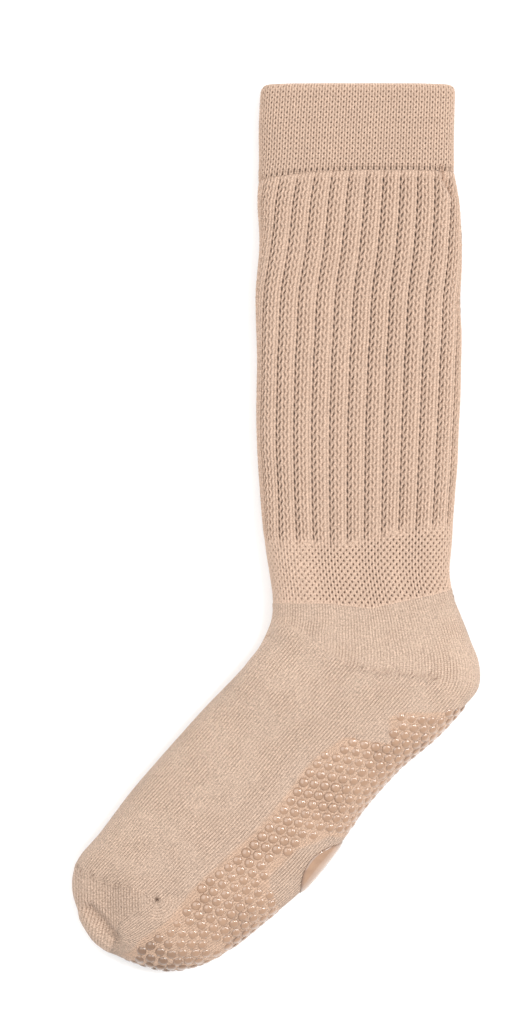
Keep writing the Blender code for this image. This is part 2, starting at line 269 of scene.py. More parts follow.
# Soft creases of the empty knit: height, half width, points on the plan from the ankle line's middle
foldLook = {
    "pinch": (-0.0026, 0.0016, ((0.0420, 0.2165), (0.0440, 0.2095), (0.0478, 0.2035))),
    "pinchLip": (0.0010, 0.0025, ((0.0395, 0.2120), (0.0425, 0.2020))),
    "ankleRidge": (0.0010, 0.0060, ((-0.0393, 0.0328), (-0.0166, -0.0176))),
    "ankleTrough": (-0.0013, 0.0065, ((-0.0470, -0.0190), (-0.0232, -0.0333))),
    "bandHollow": (-0.0007, 0.0100, ((-0.0230, 0.0240), (-0.0040, 0.0010))),
    "bandHollowBack": (-0.0006, 0.0080, ((0.0150, 0.0200), (0.0280, 0.0080))),
    "footRidge": (0.0008, 0.0050, ((0.0010, -0.0428), (-0.0393, -0.0882), (-0.0721, -0.1235),
                                   (-0.0872, -0.1462))),
    "footTrough": (-0.0008, 0.0065, ((-0.0090, -0.0403), (-0.0484, -0.0832), (-0.0796, -0.1159))),
    "heelRidge": (0.0006, 0.0060, ((0.0400, -0.0240), (0.0524, -0.0363), (0.0560, -0.0450))),
    "toeOval": (0.0009, 0.0070, ((-0.1150, -0.1475), (-0.1075, -0.1500))),
    "toeDent": (-0.0034, 0.0026, ((-0.1356, -0.1560), (-0.1320, -0.1608), (-0.1290, -0.1633),
                                  (-0.1225, -0.1710))),
    "toeDentSlope": (-0.0028, 0.0080, ((-0.1270, -0.1430), (-0.1265, -0.1570))),
    "toeDentLip": (0.0010, 0.0030, ((-0.1385, -0.1610), (-0.1330, -0.1680), (-0.1260, -0.1760))),
    "legWave": (-0.0006, 0.0080, ((-0.0480, 0.1870), (-0.0300, 0.1800))),
    "legWaveLow": (0.0007, 0.0090, ((-0.0500, 0.1570), (-0.0300, 0.1520))),
    "backWave": (-0.0006, 0.0070, ((0.0300, 0.1540), (0.0520, 0.1480))),
    "shinTrough": (-0.0006, 0.0070, ((-0.0440, 0.0640), (-0.0330, 0.0380))),
}


def softFolds(points, across):
    # the creases and a slow unevenness of the upper side; the side on the floor has none
    x, y = points[..., 0], points[..., 1]
    uneven = wave(31 * x + 9 * y) * wave(13 * y - 17 * x + 0.3) + wave(23 * y + 0.1) * wave(19 * x - 6 * y)
    lift = 0.00022 * uneven
    for height, width, line in foldLook.values():
        distance, _, _ = nearLine(points, line)
        lift = lift + height * bump(distance, 0, width)
    return lift * smoothStep(0.0, 0.06, across)


def gridNormals(points):
    down = np.gradient(points, axis=0)
    ring = points[:, :-1]
    around = np.roll(ring, -1, axis=1) - np.roll(ring, 1, axis=1)
    around = np.concatenate([around, around[:, :1]], axis=1)
    normal = np.cross(around, down)
    normal = normal / np.maximum(np.linalg.norm(normal, axis=2, keepdims=True), 1e-12)
    return normal if normal[len(normal) // 2, normal.shape[1] // 4, 2] > 0 else -normal


def knitGrid(travel, half, skin, inset=0.0):
    # points of the tube at a grid of travels, their shares across, the knit's marks and its relief
    places = placeAt(travel)
    points = ringPoints(places, evenTurns(places.mean(axis=1), half), inset)
    across = acrossShare(half)[None] + 0 * travel
    look = skin(travel, across, points)
    return points, across, look, look.pop("relief")


def outerSkin(travel, half, skin):
    # the sock's outside, pushed in and out by its pattern and soft folds
    points, across, look, relief = knitGrid(travel, half, skin)
    lift = relief + softFolds(points, across)
    lifted = points + gridNormals(points) * lift[..., None]
    lifted[..., 2] = np.maximum(lifted[..., 2], 0)  # the floor presses the underside flat
    return lifted, look


def innerSkin(travel, half, wall, skin):
    points, across, look, _ = knitGrid(travel, half, skin, wall)
    folds = np.minimum(softFolds(points, across), 0)  # the wall keeps its thickness in a crease
    return points + gridNormals(points) * folds[..., None], look


def stackLooks(looks):
    return {name: np.concatenate([look[name] for look in looks]) for name in looks[0]}


def oneRow(look, row, plain=False):  # a plain row keeps its knit maps and has no pits
    return {name: values[row:row + 1] * (0 if plain and values.ndim == 2 else 1)
            for name, values in look.items()}


def newMesh(name, bm):
    mesh = bpy.data.meshes.new(name)
    bm.to_mesh(mesh)
    bm.free()
    return mesh


def addObject(name, data):
    made = bpy.data.objects.new(name, data)
    bpy.context.scene.collection.objects.link(made)
    return made


def addPiece(name, mesh, finish, sharpAngle):
    mesh.shade_smooth()
    mesh.set_sharp_from_angle(angle=math.radians(sharpAngle))
    mesh.materials.append(finish)
    print(name, sum(len(face.vertices) - 2 for face in mesh.polygons), "triangles")
    return addObject(name, mesh)


def gridMesh(name, points, look, finish):
    # a bmesh grid laid over the points, with its knit maps and marks, welded into a closed shell
    rows, columns = points.shape[:2]
    bm = bmesh.new()
    bmesh.ops.create_grid(bm, x_segments=columns - 1, y_segments=rows - 1, size=1)
    mesh = newMesh(name, bm)
    flat = np.empty(3 * len(mesh.vertices))
    mesh.vertices.foreach_get("co", flat)
    flat = flat.reshape(-1, 3)
    column = np.rint((flat[:, 0] + 1) / 2 * (columns - 1)).astype(int)
    row = np.rint((flat[:, 1] + 1) / 2 * (rows - 1)).astype(int)
    mesh.vertices.foreach_set("co", (points + planShift)[row, column].ravel())
    corner = np.empty(len(mesh.loops), dtype=np.int32)
    mesh.loops.foreach_get("vertex_index", corner)
    for label, values in look.items():
        if values.ndim == 3:
            layer = mesh.uv_layers.new(name=label)
            layer.data.foreach_set("uv", values[row[corner], column[corner]].astype(np.float32).ravel())
        else:
            mark = mesh.attributes.new(label, "FLOAT", "POINT")
            mark.data.foreach_set("value", values[row, column].astype(np.float32))
    bm = bmesh.new()
    bm.from_mesh(mesh)
    bmesh.ops.remove_doubles(bm, verts=bm.verts, dist=0.000005)
    bmesh.ops.recalc_face_normals(bm, faces=bm.faces)
    bm.to_mesh(mesh)
    bm.free()
    piece = addPiece(name, mesh, finish, 70)
    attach(piece, "root")
    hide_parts("knit_sock")


def travelRows(top, bottom, rows):
    return blendTo(np.linspace(0, 1, rows)[:, None], top[None], bottom[None])


def tubePiece(name, top, bottom, rows, half, skin, finish):
    # a ring of knit with a real wall between two edges, given as travels for each column
    outside, look = outerSkin(travelRows(top, bottom, rows), half, skin)
    inside, inLook = innerSkin(travelRows(bottom, top, 6), half, sockForm["legWall"], skin)
    points = np.concatenate([outside, inside, outside[:1]])
    gridMesh(name, points, stackLooks([look, inLook, oneRow(look, 0)]), finish)


# Shader groups

def setInputs(node, **values):
    for name, value in values.items():
        node.inputs[name.replace("_", " ")].default_value = value
    return node


def addNode(tree, kind, **values):
    return setInputs(tree.nodes.new(kind), **values)


def newMaterial(name, **values):
    made = bpy.data.materials.new(name)
    made.use_nodes = True
    return made, made.node_tree, setInputs(made.node_tree.nodes["Principled BSDF"], **values)


def feed(tree, socket, value):  # a link from another node, or a value
    if isinstance(value, bpy.types.NodeSocket):
        tree.links.new(value, socket)
    elif value is not None:
        socket.default_value = value


def addMath(tree, operation, a, b=None, c=None, clamp=False):
    node = tree.nodes.new("ShaderNodeMath")
    node.operation, node.use_clamp = operation, clamp
    for socket, value in zip(node.inputs, (a, b, c)):
        feed(tree, socket, value)
    return node.outputs[0]


def addRange(tree, value, low, high, newLow=0.0, newHigh=1.0):
    node = addNode(tree, "ShaderNodeMapRange", From_Min=low, From_Max=high, To_Min=newLow, To_Max=newHigh)
    node.interpolation_type = "SMOOTHSTEP"
    tree.links.new(value, node.inputs["Value"])
    return node.outputs["Result"]


def addMix(tree, share, a, b, mode="MIX"):
    node = tree.nodes.new("ShaderNodeMix")
    node.data_type, node.blend_type = "RGBA", mode
    for socket, value in ((node.inputs[0], share), (node.inputs[6], a), (node.inputs[7], b)):
        feed(tree, socket, (*value, 1) if isinstance(value, tuple) else value)
    return node.outputs[2]


def addMark(tree, label):
    mark = tree.nodes.new("ShaderNodeAttribute")
    mark.attribute_name = label
    return mark.outputs["Fac"]


def newGroup(name, inputs, outputs):
    group = bpy.data.node_groups.new(name, "ShaderNodeTree")
    for label, kind, value in inputs:
        socket = group.interface.new_socket(label, in_out="INPUT", socket_type=kind)
        if value is not None:
            socket.default_value = value
    for label, kind in outputs:
        group.interface.new_socket(label, in_out="OUTPUT", socket_type=kind)
    return group, group.nodes.new("NodeGroupInput").outputs, group.nodes.new("NodeGroupOutput").inputs


def fromMiddle(tree, count):
    return addMath(tree, "ABSOLUTE", addMath(tree, "SUBTRACT", addMath(tree, "FRACT", count), 0.5))


def loopGroup():
    # rows of knitted loops: x of the map counts wales and y counts courses
    group, given, out = newGroup(
        "knitLoops",
        [("Map", "NodeSocketVector", None), ("Slant", "NodeSocketFloat", 0.9)],
        [("Height", "NodeSocketFloat"), ("Gap", "NodeSocketFloat")])
    split = group.nodes.new("ShaderNodeSeparateXYZ")
    group.links.new(given["Map"], split.inputs[0])
    side = fromMiddle(group, split.outputs["X"])
    loop = fromMiddle(group, addMath(group, "MULTIPLY_ADD", side, given["Slant"], split.outputs["Y"]))
    waleGap = addRange(group, side, 0.20, 0.5)
    loopGap = addRange(group, loop, 0.18, 0.5)
    deep = addMath(group, "MULTIPLY_ADD", loopGap, 0.55, 0.45)
    body = addMath(group, "SUBTRACT", 1.0, waleGap)
    yarn = addMath(group, "MULTIPLY_ADD", loopGap, -0.45, 1.0)
    group.links.new(addMath(group, "MULTIPLY", body, yarn), out["Height"])
    gap = addMath(group, "MAXIMUM", addMath(group, "MULTIPLY", waleGap, deep),
                  addMath(group, "MULTIPLY", loopGap, 0.35))
    group.links.new(gap, out["Gap"])
    return group


def fuzzGroup():
    # soft unevenness of the yarn: a fine grain and a slow drift of tone
    group, given, out = newGroup(
        "yarnFuzz",
        [("Grain Size", "NodeSocketFloat", 1500.0), ("Drift Size", "NodeSocketFloat", 55.0)],
        [("Grain", "NodeSocketFloat"), ("Drift", "NodeSocketFloat")])
    place = group.nodes.new("ShaderNodeTexCoord")
    for label, size, low, high in (("Grain", "Grain Size", 0.30, 0.70), ("Drift", "Drift Size", 0.32, 0.68)):
        noise = addNode(group, "ShaderNodeTexNoise", Detail=2.0, Roughness=0.6)
        group.links.new(place.outputs["Object"], noise.inputs["Vector"])
        group.links.new(given[size], noise.inputs["Scale"])
        group.links.new(addRange(group, noise.outputs["Fac"], low, high), out[label])
    return group


loops, fuzz = loopGroup(), fuzzGroup()

# Colours are linear; depths are in metres
knitLook = {
    # shade and hole: painted shade in the knit's gaps and holes; crown: a painted highlight on yarns that
    # stand out
    "yarn": (0.612, 0.436, 0.330), "plainYarn": (0.548, 0.403, 0.310),
    "shade": (0.235, 0.140, 0.090), "hole": (0.100, 0.050, 0.028),
    "crown": (0.940, 0.750, 0.620), "film": (0.530, 0.340, 0.230),
    "loopDepth": 0.00045, "holeShade": 0.95, "crownHighlight": 1.0, "filmShare": 0.60, "boldGap": 0.35,
    "drift": 0.05, "roughness": 0.92, "sheen": 0.10,
}


def addGroup(tree, group):
    node = tree.nodes.new("ShaderNodeGroup")
    node.node_tree = group
    return node


def addLoops(tree, mapName):
    knitMap = tree.nodes.new("ShaderNodeUVMap")
    knitMap.uv_map = mapName
    loop = addGroup(tree, loops)
    tree.links.new(knitMap.outputs[0], loop.inputs["Map"])
    return loop.outputs["Height"], loop.outputs["Gap"]


def linkSurface(tree, shader, colour, height, strength, depth):
    tree.links.new(colour, shader.inputs["Base Color"])
    lift = addNode(tree, "ShaderNodeBump", Strength=strength, Distance=depth)
    tree.links.new(height, lift.inputs["Height"])
    tree.links.new(lift.outputs[0], shader.inputs["Normal"])


def knitMaterial(name, gapShade, grain, shaped=False):
    # how much painted shade darkens the gaps between the loops, and how much the yarn's fuzz shows (grain)
    made, tree, shader = newMaterial(name, Roughness=knitLook["roughness"], Specular_IOR_Level=0.25,
                                     Sheen_Weight=knitLook["sheen"], Sheen_Roughness=0.5)
    height, gap = addLoops(tree, "knitMap")
    if shaped:  # the turned knit of the heel and toe
        turned = addMark(tree, "turned")
        turnHeight, turnGap = addLoops(tree, "turnMap")
        height, gap = (addMath(tree, "MULTIPLY_ADD", turned, addMath(tree, "SUBTRACT", b, a), a)
                       for a, b in ((height, turnHeight), (gap, turnGap)))
    yarn = addGroup(tree, fuzz)
    paintedShading = addMark(tree, "paintedShading")
    patch = addRange(tree, yarn.outputs["Drift"], 0.0, 1.0, 0.55 * gapShade, 1.25 * gapShade)
    if shaped:  # the knit of the sole shows its gaps more
        # the bare window of the sole gets more painted shade in its gaps
        patch = addMath(tree, "MULTIPLY_ADD", addMark(tree, "bold"), knitLook["boldGap"], patch)
    # painted shade in the gaps between the loops, in patches of random strength
    dark = addMath(tree, "MULTIPLY", gap, patch, clamp=True)
    colour = addMix(tree, dark, knitLook["plainYarn" if shaped else "yarn"], knitLook["shade"])
    # a painted highlight on yarns that stand out
    crown = addMath(tree, "MULTIPLY", paintedShading, -knitLook["crownHighlight"], clamp=True)
    colour = addMix(tree, crown, colour, knitLook["crown"])
    # painted shade in the holes
    hole = addMath(tree, "MULTIPLY", paintedShading, knitLook["holeShade"], clamp=True)
    colour = addMix(tree, hole, colour, knitLook["hole"])
    if shaped:  # the clear rubber film between the dots
        film = addMath(tree, "MULTIPLY", addMark(tree, "film"), knitLook["filmShare"])
        colour = addMix(tree, film, colour, knitLook["film"])
        gloss = addMath(tree, "MULTIPLY", addMark(tree, "film"), 0.25)
        tree.links.new(gloss, shader.inputs["Coat Weight"])
        setInputs(shader, Coat_Roughness=0.35)
    fine = addMath(tree, "MULTIPLY_ADD", yarn.outputs["Grain"], grain, 1 - grain / 2)
    slow = addMath(tree, "MULTIPLY_ADD", yarn.outputs["Drift"], knitLook["drift"], 1 - knitLook["drift"] / 2)
    tone = addMath(tree, "MULTIPLY", fine, slow)
    combine = tree.nodes.new("ShaderNodeCombineColor")
    for socket in combine.inputs:
        tree.links.new(tone, socket)
    colour = addMix(tree, 1.0, colour, combine.outputs[0], "MULTIPLY")
    height = addMath(tree, "MULTIPLY_ADD", yarn.outputs["Grain"], 0.30, height)
    linkSurface(tree, shader, colour, height, 0.9, knitLook["loopDepth"])
    return made


# Knit patterns. Travels run down the sock in metres, minus above the ankle line. The painted shading
# map is 1 in a hole, which gets painted shade, and minus where a yarn stands out and gets a painted
# highlight.

ribLook = {
    "ribs": 13, "phase": 0.14, "depth": 0.0013, "crownHeight": 0.00030, "gapWidth": 0.053,
    "crownWidth": 0.055, "crownHighlight": 0.8, "dotPitch": 0.0039, "zigzag": 0.045,
    # gap across one rib, strength, shift of its dots, share of the zigzag
    "gaps": ((0.000, 1.15, 0.0, 0.3), (0.165, 1.05, 0.5, 1.0), (0.390, 0.72, 0.1, 1.0),
             (0.600, 0.60, 0.6, 1.0), (0.810, 0.35, 0.2, 0.5)),
    # raised yarn across one rib, strength, share of the zigzag
    "crowns": ((0.083, 1.1, 0.7), (0.280, 1.1, 1.0), (0.495, 0.9, 1.0), (0.700, 0.6, 0.8),
               (0.925, 0.5, 0.2)),
    # height as a share of the ribbed leg, shift in ribs
    "lean": ((1.00, 0.05), (0.925, 0.31), (0.816, 0.66), (0.653, 0.92), (0.490, 1.18), (0.327, 1.22),
             (0.164, 1.26), (0.0, 1.30)),
}


def ribLean(height):  # how many ribs the pattern has moved over at this height
    return tableAt(ribLook["lean"][::-1], (height - sockForm["bandHeight"]) / sockForm["ribHeight"])


def ribPattern(travel, across):
    # dotted gaps, dented and painted with shade, and raised yarns, painted lighter as a highlight, down the
    # ribs, both swaying in a small zigzag
    height = -travel
    count = ribLook["ribs"] * across + ribLean(height) - ribLook["phase"]
    beat = height / ribLook["dotPitch"] + 0.13 * wave(across * 3 + height * 17)
    swing = ribLook["zigzag"] * wave(beat)
    gap, crown = 0 * count, 0 * count
    for middle, strength, shift, share in ribLook["gaps"]:
        dots = 0.5 + 0.5 * np.cos(math.tau * (beat + shift))
        near = (count - middle + share * swing + 0.5) % 1 - 0.5
        gap = np.maximum(gap, strength * (0.30 + 0.70 * dots) * bump(near, 0, ribLook["gapWidth"]))
    for middle, strength, share in ribLook["crowns"]:
        near = (count - middle + share * swing + 0.5) % 1 - 0.5
        loop = 0.65 + 0.35 * np.cos(math.tau * (2 * beat + middle * 3))
        crown = np.maximum(crown, strength * loop * bump(near, 0, ribLook["crownWidth"]))
    # the gaps are deeper, with darker painted shade, in two stripes high on the leg
    deeper = smoothStep(0.08, 0.13, height) * (bump(across, 0.68, 0.2) + bump(across, 0.935, 0.05))
    gap = gap * (0.95 + 0.12 * deeper)
    relief = ribLook["crownHeight"] * crown - ribLook["depth"] * gap
    return relief, gap - ribLook["crownHighlight"] * crown * (1 - gap), count


# Holes by columns over the width. In every other column they may be slanting dashes. width, slant
# and the like are shares of a column, length and dash of the pitch.
eyeletLook = {
    "channelWidth": 0.24, "ridgeWidth": 0.2, "ridgeHeight": 0.00018,
    # strength and dashStrength: depth and painted shade of the holes; ridge: the painted highlight on the
    # yarns beside them
    "cuff": {"columns": 78, "pitch": 0.0026, "depth": 0.0008, "width": 0.27, "length": 0.165, "slant": 0.45,
             "channel": 0.20, "strength": 1.45, "ridge": 1.0, "dash": 0.40, "dashStrength": 0.80},
    "band": {"columns": 70, "pitch": 0.0035, "depth": 0.0012, "width": 0.25, "length": 0.155, "slant": 0.55,
             "channel": 0.18, "strength": 1.35, "ridge": 1.1, "dash": 0.155, "dashStrength": 1.35},
}


def eyeletPattern(travel, across, look, lean):
    # staggered holes between the wales, dented and painted with shade, with the yarns beside them standing
    # out and painted lighter as a highlight
    count = look["columns"] * across + lean
    column = np.round(count)
    odd = column % 2
    step = -travel / look["pitch"] + 0.5 * odd
    drop = (step + 0.5) % 1 - 0.5
    near = count - column + look["slant"] * drop * (2 * odd - 1)
    length = np.where(odd > 0.5, look["dash"], look["length"])
    strength = np.where(odd > 0.5, look["dashStrength"], look["strength"])
    hole = strength * np.exp(-(near / look["width"]) ** 2 - (drop / length) ** 2)
    hole = np.maximum(hole, look["channel"] * bump(count - column, 0, eyeletLook["channelWidth"]))
    loop = 0.55 + 0.45 * np.cos(math.tau * (2 * step + 0.5))
    ridge = loop * bump(np.abs(count - column), 0.5, eyeletLook["ridgeWidth"])
    relief = eyeletLook["ridgeHeight"] * ridge - look["depth"] * hole
    return relief, hole - look["ridge"] * ridge * np.clip(1 - hole, 0, 1), count


# Edges between the knits: share across (minus below), height above the ankle line or shift
bandTopEdge = ((-1.0, 0.030), (0.0, 0.030), (0.1, 0.0275), (0.45, 0.0265), (0.7, 0.033), (1.0, 0.036))
bandLowEdge = ((-1.0, 0.002), (0.0, -0.0025), (0.35, -0.0025), (0.52, -0.005), (0.95, 0.005), (1.0, 0.005))
cuffEdge = ((-1.0, 0.0), (0.0, -0.005), (0.3, -0.001), (0.5, 0.0), (1.0, 0.0))
course = 0.0008  # height of a row of loops in the leg


def cuffLineAt(across):
    return -(sockForm["bandHeight"] + sockForm["ribHeight"]) - tableAt(cuffEdge, across)


# The leg below the cuff. rows and half: the mesh's rows, and half its columns round the leg
shaftLook = {
    "rows": 140, "half": 312, "bandRows": 74, "bandHalf": 350, "overlap": 0.006,
    "ribStart": 0.35, "ribFade": 0.005, "seamDepth": 0.0003, "seamWidth": 0.0009, "seamShade": 0.15,
}


def shaftSkin(travel, across, points):
    # the ribbed leg, which opens into the mesh band above the ankle
    ribRelief, ribShading, ribs = ribPattern(travel, across)
    look = eyeletLook["band"]
    relief, paintedShading, _ = eyeletPattern(travel, across, look, look["columns"] / ribLook["ribs"] * ribLean(-travel))
    faint = 1 - 0.55 * bump(across, 0.05, 0.22)
    edge = -tableAt(bandTopEdge, across)
    toBand = smoothStep(edge - 0.005, edge + 0.003, travel)
    low = -tableAt(bandLowEdge, across)
    toPlain = 1 - smoothStep(low - 0.0016, low - 0.0002, travel)
    below = travel - cuffLineAt(across)
    start = blendTo(smoothStep(0.0, shaftLook["ribFade"], below), shaftLook["ribStart"], 1)
    # a shallow groove just under the cuff, with a line of painted shade along it
    seam = bump(below, 0, shaftLook["seamWidth"])
    relief = blendTo(toBand, ribRelief * start, relief * faint) * toPlain - shaftLook["seamDepth"] * seam
    paintedShading = np.maximum(blendTo(toBand, ribShading * start, paintedShading * faint) * toPlain, shaftLook["seamShade"] * seam)
    return {"relief": relief, "paintedShading": paintedShading, "knitMap": np.stack([5 * ribs, travel / course], axis=-1)}


# The double cuff. lean: columns that the holes move over at its lower edge; dots: the row of large
# holes there, with painted shade; topDrop and cornerDrop: how far the top and its corners lie below the
# solid's edge
cuffLook = {
    "rows": 88, "innerRows": 40, "lean": 1.2, "proud": 0.0005,
    "dotDepth": 0.0006, "dotHeight": 0.0012, "dotSize": 0.0011, "dotShade": 0.95,
    "topDrop": 0.0014, "cornerDrop": 0.0034, "cornerWidth": 0.030,
    "lipShares": (0.10, 0.26, 0.5, 0.74, 0.90), "lipRound": 0.0011,
}


def cuffSkin(travel, across, points):
    down = travel - collarTravel
    lean = cuffLook["lean"] * (down / sockForm["cuffHeight"]) ** 2
    relief, paintedShading, count = eyeletPattern(travel, across, eyeletLook["cuff"], lean)
    above = cuffLineAt(across) - travel
    body = smoothStep(-0.0005, 0.0055, above)
    dots = bump(above, cuffLook["dotHeight"], cuffLook["dotSize"]) * np.clip(np.cos(math.pi * count), 0, 1)
    top = smoothStep(0.0, 0.006, down)  # the holes are smaller in the topmost rows
    relief = cuffLook["proud"] * body + relief * (0.5 + 0.5 * top) - cuffLook["dotDepth"] * dots
    # painted shade in the holes and in the row of large holes
    paintedShading = np.maximum(paintedShading * (0.45 + 0.55 * top), cuffLook["dotShade"] * dots)
    return {"relief": relief, "paintedShading": paintedShading, "knitMap": np.stack([count, travel / course], axis=-1)}


# The plain foot: seam lines on the plan, from the ankle line's middle
footLook = {
    "rows": 276, "half": 156, "innerRows": 24, "wales": 82, "course": 0.00076,
    "heelSeam": ((-0.0035, -0.0333), (0.0080, -0.0362), (0.0240, -0.0376), (0.0383, -0.0393)),
    "toeSeam": ((-0.1440, -0.1345), (-0.1361, -0.1376), (-0.1285, -0.1421), (-0.1174, -0.1436),
                (-0.1089, -0.1457), (-0.1008, -0.1502)),
    "toeGusset": ((-0.1008, -0.1502), (-0.1109, -0.1567), (-0.1174, -0.1593), (-0.1240, -0.1660)),
    # height at which the turned knit starts below, and how soft its edge is
    "heelTurn": ((-0.0600, 0.0040, 0.010), (-0.0469, -0.0050, 0.010), (-0.0035, -0.0333, 0.0012),
                 (0.0383, -0.0393, 0.0012), (0.0500, -0.0520, 0.004), (0.0620, -0.0680, 0.006)),
    # the pocket's top wale, its place and the pocket's width; where its map and its knit fade out
    "pocketShare": 0.4475, "pocketTop": 0.0533, "pocketWidth": 0.120,
    "pocketBlend": (0.050, 0.110), "pocketEnd": (0.120, 0.135),
    # the cap's wales, the rings of knit round the hole and how far they reach
    "toeStart": 0.150, "capWale": 0.00145, "ringWale": 0.0015, "ringRows": 9, "ringReach": (0.007, 0.014),
    # strengths of the painted shade in the seams' holes, in the toe's hole and in the cap's speckle
    "heelSeamShade": 0.80, "toeSeamShade": 0.85, "gussetSeamShade": 0.45, "speckle": 0.45,
    "toeHoleShade": 1.2, "holeSize": 0.0010, "holeDepth": 0.0012, "holeWidth": 0.0015,
    "filmSoft": 0.0012, "filmPast": 0.0024,  # past the middles of the outermost dots
    # rows of holes beside a seam: place, strength, stretch of their pitch
    "stitch": 0.0021,
    "seamRows": ((0.0006, 1.0, 1.0), (-0.0008, 0.9, 1.13), (0.0020, 0.55, 0.91), (-0.0022, 0.45, 1.27)),
}


def seamDots(points, line):
    # a low ridge with rows of small holes scattered beside it; the holes are dented and get painted shade
    distance, side, walked = nearLine(points, line)
    signed = distance * side
    holes = 0 * distance
    for place, strength, stretch in footLook["seamRows"]:
        beat = walked / footLook["stitch"] * stretch + 900 * place
        uneven = 0.7 + 0.3 * wave(0.31 * beat + place * 700)
        row = strength * uneven * bump(signed, place + 0.0003 * wave(0.23 * beat), 0.00055)
        holes = np.maximum(holes, row * (0.5 + 0.5 * np.cos(math.tau * beat)) ** 1.5)
    return 0.0003 * bump(distance, 0, 0.0020) - 0.0003 * holes, holes


def heelTurn(x, y, natural):
    # the heel pocket's map, with its wales along the sole, and how far the knit is turned to it
    slant = sockForm["footSlant"]
    dx, dy = x - sockForm["heelReach"], y + sockForm["heelDepth"]
    along = -math.cos(slant) * dx - math.sin(slant) * dy
    over = -math.sin(slant) * dx + math.cos(slant) * dy
    share = footLook["pocketShare"] + (footLook["pocketTop"] - over) / footLook["pocketWidth"]
    sole = np.stack([footLook["wales"] * share, along / footLook["course"]], axis=-1)
    turnMap = blendTo(smoothStep(*footLook["pocketBlend"], along)[..., None], sole, natural)
    edge, soft = (tableAt(footLook["heelTurn"], x, column) for column in (1, 2))
    turned = smoothStep(-1, 1, (edge - y) / soft) * (1 - smoothStep(*footLook["pocketEnd"], along))
    return turnMap, turned, along


def toeTurn(x, y):
    # the toe cap, and the knit that curves round the hole at the end of its seam
    end = footLook["toeSeam"][-1]
    reach = np.hypot(x - end[0], y - end[1])
    underSeam = smoothStep(-0.0008, 0.0008, tableAt(footLook["toeSeam"], x) - y) * (x < end[0])
    overGusset = y - tableAt(footLook["toeGusset"][::-1], x) + 0.02 * smoothStep(-0.118, -0.128, x)
    cap = underSeam * smoothStep(-0.0010, 0.0010, overGusset)
    below = (0.60 * (x - end[0]) - 0.80 * (y - end[1])) / np.maximum(reach, 1e-5)
    near = 1 - smoothStep(*footLook["ringReach"], reach)
    swirl = 0.8 * near * smoothStep(0.25, 0.85, below) * (1 - cap)
    capMap = np.stack([x / footLook["capWale"], y / course], axis=-1)
    turn = np.arctan2(y - end[1], x - end[0])
    ringMap = np.stack([reach / footLook["ringWale"], turn * footLook["ringRows"]], axis=-1)
    return np.where((cap > swirl)[..., None], capMap, ringMap), np.maximum(cap, swirl), cap, reach


# The print. along: share of the foot's length from the heel corner; reach: share of the print's reach
printEdge = (
    (0.052, 0.00), (0.068, 0.25), (0.108, 0.88), (0.136, 0.93), (0.168, 0.78), (0.203, 0.60),
    (0.222, 0.82), (0.240, 1.08), (0.350, 1.13), (0.500, 1.15), (0.640, 1.18), (0.760, 1.12),
    (0.830, 0.98), (0.890, 0.88), (0.930, 0.78), (0.985, 0.50), (1.030, 0.30), (1.065, 0.00),
)
windowEdge = ((0.425, 0.00), (0.465, 0.50), (0.530, 0.72), (0.615, 0.77), (0.645, 0.60), (0.675, 0.00))


def softReach(table, along):
    return tableAt(table, along / sockForm["footLength"]) * sockForm["printReach"]


def soleMarks(places, across, points):
    # the printed field of the sole, less its bare window where the gaps of the knit show more
    along = np.interp(places, edgePlaces, edgeLengths)
    steps = np.linalg.norm(np.diff(points, axis=1), axis=2)
    middle = steps.shape[1] // 2
    over, below = steps[:, :middle].sum(axis=1), steps[:, middle:].sum(axis=1)
    around = (1 - np.abs(across)) * np.where(across >= 0, over[:, None], below[:, None])
    reach, window = (softReach(table, along) for table in (printEdge, windowEdge))
    soft, past = footLook["filmSoft"], footLook["filmPast"]
    inside = smoothStep(-soft, soft, reach + past - around) * (reach > 0)
    bare = smoothStep(-soft, soft, window - past - around) * (window > 0)
    return {"film": inside * (1 - bare), "bold": bare}


def footSkin(travel, across, points):
    x, y = points[..., 0], points[..., 1]
    natural = np.stack([footLook["wales"] * across, travel / footLook["course"]], axis=-1)
    turnMap, turned, along = heelTurn(x, y, natural)
    toeMap, toeTurned, cap, reach = toeTurn(x, y)
    toe = along > footLook["toeStart"]
    turnMap, turned = np.where(toe[..., None], toeMap, turnMap), np.where(toe, toeTurned, turned)
    (heelRelief, heelSeamShade), (toeRelief, toeSeamShade), (gussetRelief, gussetSeamShade) = (
        seamDots(points, footLook[seam]) for seam in ("heelSeam", "toeSeam", "toeGusset"))
    gussetSeamShade = gussetSeamShade * smoothStep(0.007, 0.010, reach)
    left = 1 - smoothStep(-0.1174, -0.1100, x)  # towards the hole the seam is a plain soft ridge
    speckle = np.maximum(wave(x / 0.0023) * wave(y / 0.0017 + 0.2 * wave(x / 0.007)), 0)
    hole = bump(reach, 0, footLook["holeSize"])
    # painted shade in the seams' holes, the toe's hole and the cap's speckle
    paintedShading = np.maximum.reduce([
        footLook["heelSeamShade"] * heelSeamShade, footLook["toeSeamShade"] * toeSeamShade * left, footLook["gussetSeamShade"] * gussetSeamShade,
        footLook["toeHoleShade"] * hole, cap * footLook["speckle"] * speckle])
    relief = heelRelief + toeRelief * (0.4 + 0.6 * left) + 0.5 * gussetRelief
    relief = relief - footLook["holeDepth"] * bump(reach, 0, footLook["holeWidth"])
    # a soft welt under the mesh band
    relief = relief + 0.0003 * bump(travel + tableAt(bandLowEdge, across), 0.0012, 0.0012)
    return {"relief": relief, "paintedShading": paintedShading, "knitMap": natural, "turnMap": turnMap, "turned": turned,
            **soleMarks(placeAt(travel), across, points)}


